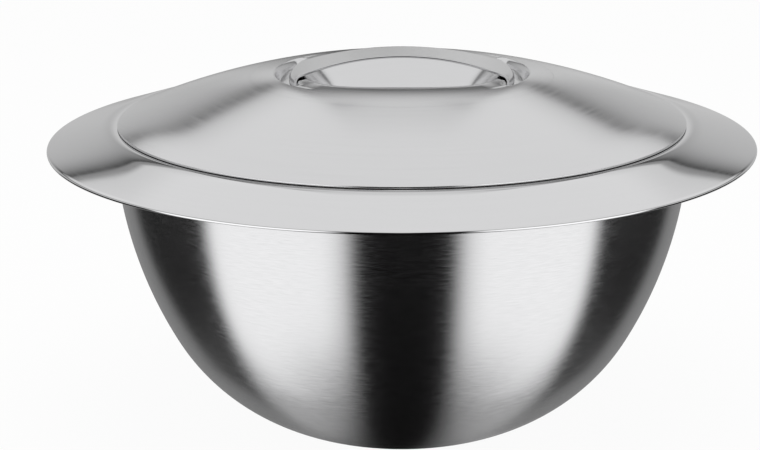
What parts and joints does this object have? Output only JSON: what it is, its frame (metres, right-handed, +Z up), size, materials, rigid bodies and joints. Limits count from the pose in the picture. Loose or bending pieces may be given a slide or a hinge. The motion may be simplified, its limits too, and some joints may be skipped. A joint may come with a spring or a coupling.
{
  "type": "insulated salad bowl",
  "caption": "Double-walled insulated salad bowl in brushed steel with a wide polished brim and a domed lid with a strap handle over a sunk pan.",
  "frame": {"origin": "centre of the base, on the surface that the bowl stands on", "axes": "+Z up along the bowl's axis, +X along the strap handle, +Y away from the viewer of the picture"},
  "size_m": [0.3414, 0.3414, 0.1846],
  "materials": {
    "brushed_bowl": "satin stainless steel, brushed round the axis",
    "polished_brim": "mirror polished stainless steel",
    "polished_lid": "polished stainless steel",
    "satin_liner": "satin stainless steel",
    "foam": "rigid cream foam",
    "plug_rubber": "moulded black rubber",
    "seal_silicone": "translucent white silicone"
  },
  "bodies": {
    "bowl": {"outer_shell": "brushed_bowl", "inner_shell": "polished_brim", "bowl_insulation": "foam", "base_plug": "plug_rubber"},
    "lid": {"lid_dome": "polished_lid", "handle_pan": "polished_lid", "handle_strap": "polished_lid", "lid_liner": "satin_liner", "lid_insulation": "foam", "lid_seal": "seal_silicone"}
  },
  "joints": [
    {"name": "lid_lift", "type": "slide", "parent": "bowl", "child": "lid", "axis": [0, 0, 1], "range_m": [0, 0.15]}
  ]
}
